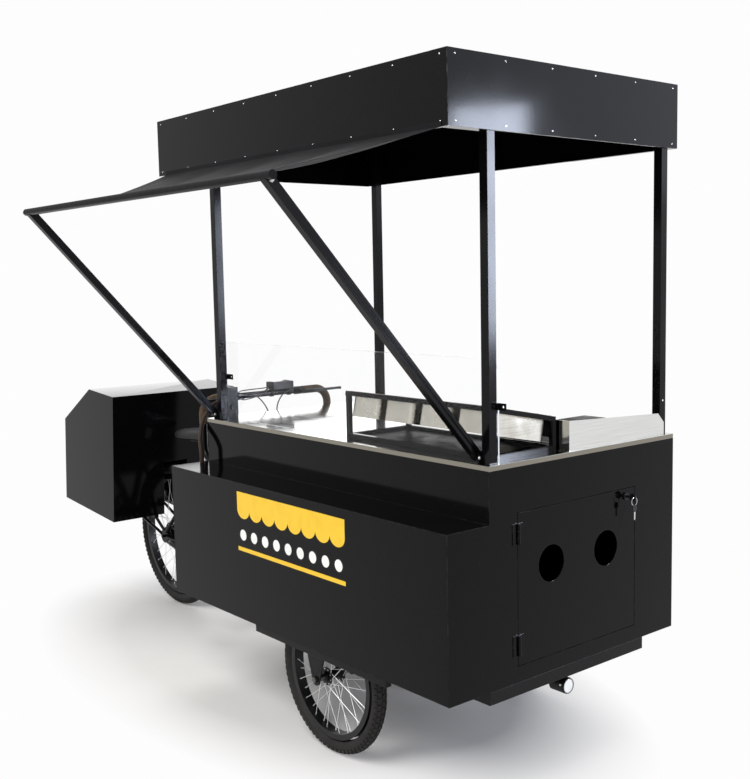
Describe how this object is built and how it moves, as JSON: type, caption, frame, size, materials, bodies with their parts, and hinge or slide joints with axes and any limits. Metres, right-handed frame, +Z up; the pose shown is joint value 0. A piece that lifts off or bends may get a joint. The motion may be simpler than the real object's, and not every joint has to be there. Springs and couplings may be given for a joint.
{
  "type": "bicycle food cart",
  "caption": "Street-food cart body with roof, fold-up awning, counter and cabinet on front wheels, steered and driven by the rear half of a bicycle with a storage box.",
  "frame": {"origin": "on the ground, under the middle of the whole cart's box", "axes": "+X the way it rides, +Y to the operator's side, -Y to the serving side, +Z up"},
  "size_m": [2.9734, 1.5442, 2.1079],
  "materials": {
    "black_gloss_paint": "gloss black enamel",
    "black_satin_paint": "satin black powder coat",
    "dark_frame_paint": "black primer",
    "stainless": "brushed",
    "acrylic": "clear acrylic",
    "griddle_iron": "seasoned",
    "black_plastic": "moulded",
    "grip_wrap": "ribbed brown",
    "loom_wrap": "wrapped tape",
    "cable_black": "smooth sheath",
    "lens": "clear lens over a chrome bowl",
    "chrome": "polished",
    "tyre": "matte",
    "rim": "black anodised",
    "spokes": "bright",
    "motor": "black painted",
    "awning_cloth": "charcoal polyester",
    "arm_tube": "black satin",
    "saddle": "black vinyl",
    "chain_steel": "oiled"
  },
  "bodies": {
    "cart": {"chassis_frame": "dark_frame_paint", "floor_panel": "dark_frame_paint", "front_panel": "black_gloss_paint", "rear_panel": "black_gloss_paint", "serving_panel": "black_gloss_paint", "serving_shelf": "black_gloss_paint", "operator_panel": "black_gloss_paint", "wheel_housings": "dark_frame_paint", "countertop": "stainless", "roof_posts": "black_satin_paint", "roof_panel": "black_gloss_paint", "roof_fascia": "black_gloss_paint", "post_brackets": "black_satin_paint", "sneeze_guard": "acrylic", "pan_rack": "black_satin_paint", "drip_tray": "black_plastic", "griddle_plate": "griddle_iron", "splash_guard": "stainless", "handlebar": "black_satin_paint", "handlebar_grips": "grip_wrap", "control_unit": "black_plastic", "switch_box": "black_plastic", "brake_cables": "cable_black", "cable_loom": "loom_wrap", "headlamp_housing": "black_plastic", "headlamp_lens": "lens", "wheel_hangers": "black_satin_paint", "front_axles": "chrome", "steering_yoke": "black_satin_paint"},
    "front_door": {"front_door": "black_gloss_paint"},
    "door_lock": {"door_lock": "chrome"},
    "operator_door_front": {"operator_door_front": "black_gloss_paint"},
    "operator_door_rear": {"operator_door_rear": "black_gloss_paint"},
    "awning": {"awning_arms": "arm_tube", "awning_bar": "arm_tube", "awning_cloth": "awning_cloth"},
    "brake_lever_left": {"brake_lever_left": "black_plastic"},
    "brake_lever_right": {"brake_lever_right": "black_plastic"},
    "front_wheel_left": {"front_tyre_left": "tyre", "front_rim_left": "rim", "front_hub_left": "spokes"},
    "front_wheel_right": {"front_tyre_right": "tyre", "front_rim_right": "rim", "front_hub_right": "spokes"},
    "bicycle": {"bike_frame": "black_satin_paint", "rear_box": "black_gloss_paint", "chain": "chain_steel"},
    "rear_box_lid": {"rear_box_lid": "black_gloss_paint"},
    "seat": {"seat_post": "chrome", "saddle": "saddle"},
    "rear_wheel": {"rear_tyre": "tyre", "rear_rim": "rim", "rear_hub": "motor"},
    "crankset": {"crankset": "black_satin_paint"},
    "pedal_left": {"pedal_left": "black_plastic"},
    "pedal_right": {"pedal_right": "black_plastic"},
    "food_pan_1": {"food_pan_1": "stainless"},
    "food_pan_2": {"food_pan_2": "stainless"},
    "food_pan_3": {"food_pan_3": "stainless"},
    "food_pan_4": {"food_pan_4": "stainless"}
  },
  "joints": [
    {"name": "front_door_hinge", "type": "hinge", "parent": "cart", "child": "front_door", "pos_m": [1.4517, 0.01665, 0.63], "axis": [0, 0, -1], "range_deg": [0, 110]},
    {"name": "door_lock_turn", "type": "hinge", "parent": "front_door", "child": "door_lock", "pos_m": [1.4467, 0.50565, 0.8295], "axis": [1, 0, 0], "range_deg": [0, 90]},
    {"name": "operator_door_front_hinge", "type": "hinge", "parent": "cart", "child": "operator_door_front", "pos_m": [1.2597, 0.75815, 0.7585], "axis": [0, 0, -1], "range_deg": [0, 110]},
    {"name": "operator_door_rear_hinge", "type": "hinge", "parent": "cart", "child": "operator_door_rear", "pos_m": [0.1337, 0.75815, 0.7585], "axis": [0, 0, 1], "range_deg": [0, 110]},
    {"name": "awning_fold", "type": "hinge", "parent": "cart", "child": "awning", "pos_m": [0.6967, -0.07785, 1.018], "axis": [-1, 0, 0], "range_deg": [0, 31], "deforming": ["awning_cloth"]},
    {"name": "brake_lever_left_pull", "type": "hinge", "parent": "cart", "child": "brake_lever_left", "pos_m": [-0.1193, 0.39815, 1.06], "axis": [0, 0, 1], "range_deg": [0, 10], "stiffness_Nm_per_rad": 2, "springref_deg": -5.73},
    {"name": "brake_lever_right_pull", "type": "hinge", "parent": "cart", "child": "brake_lever_right", "pos_m": [-0.1193, 0.09815, 1.06], "axis": [0, 0, -1], "range_deg": [0, 10], "stiffness_Nm_per_rad": 2, "springref_deg": -5.73},
    {"name": "front_wheel_left_spin", "type": "hinge", "parent": "cart", "child": "front_wheel_left", "pos_m": [0.8187, 0.67315, 0.255], "axis": [0, 1, 0], "continuous": true},
    {"name": "front_wheel_right_spin", "type": "hinge", "parent": "cart", "child": "front_wheel_right", "pos_m": [0.8187, -0.17685, 0.255], "axis": [0, 1, 0], "continuous": true},
    {"name": "steering", "type": "hinge", "parent": "cart", "child": "bicycle", "pos_m": [-0.1483, 0.24815, 0.55], "axis": [0, 0, 1], "range_deg": [-35, 35]},
    {"name": "rear_box_lid_hinge", "type": "hinge", "parent": "bicycle", "child": "rear_box_lid", "pos_m": [-1.19563, 0.24815, 1.02205], "axis": [0, 1, 0], "range_deg": [0, 100]},
    {"name": "seat_height", "type": "slide", "parent": "bicycle", "child": "seat", "axis": [-0.3156, 0, 0.9489], "range_m": [-0.045, 0.06]},
    {"name": "rear_wheel_spin", "type": "hinge", "parent": "bicycle", "child": "rear_wheel", "pos_m": [-0.9533, 0.24815, 0.333], "axis": [0, 1, 0], "continuous": true},
    {"name": "crank_spin", "type": "hinge", "parent": "bicycle", "child": "crankset", "pos_m": [-0.5233, 0.24815, 0.3], "axis": [0, 1, 0], "continuous": true},
    {"name": "pedal_left_spin", "type": "hinge", "parent": "crankset", "child": "pedal_left", "pos_m": [-0.67284, 0.24815, 0.36973], "axis": [0, 1, 0], "continuous": true},
    {"name": "pedal_right_spin", "type": "hinge", "parent": "crankset", "child": "pedal_right", "pos_m": [-0.37376, 0.24815, 0.23027], "axis": [0, 1, 0], "continuous": true},
    {"name": "food_pan_1_lift", "type": "slide", "parent": "cart", "child": "food_pan_1", "axis": [0, 0.1971, 0.9804], "range_m": [0, 0.15]},
    {"name": "food_pan_2_lift", "type": "slide", "parent": "cart", "child": "food_pan_2", "axis": [0, 0.1971, 0.9804], "range_m": [0, 0.15]},
    {"name": "food_pan_3_lift", "type": "slide", "parent": "cart", "child": "food_pan_3", "axis": [0, 0.1971, 0.9804], "range_m": [0, 0.15]},
    {"name": "food_pan_4_lift", "type": "slide", "parent": "cart", "child": "food_pan_4", "axis": [0, 0.1971, 0.9804], "range_m": [0, 0.15]}
  ],
  "couplings": [
    {"joint": "crank_spin", "follows": "rear_wheel_spin", "ratio": 0.42857}
  ]
}
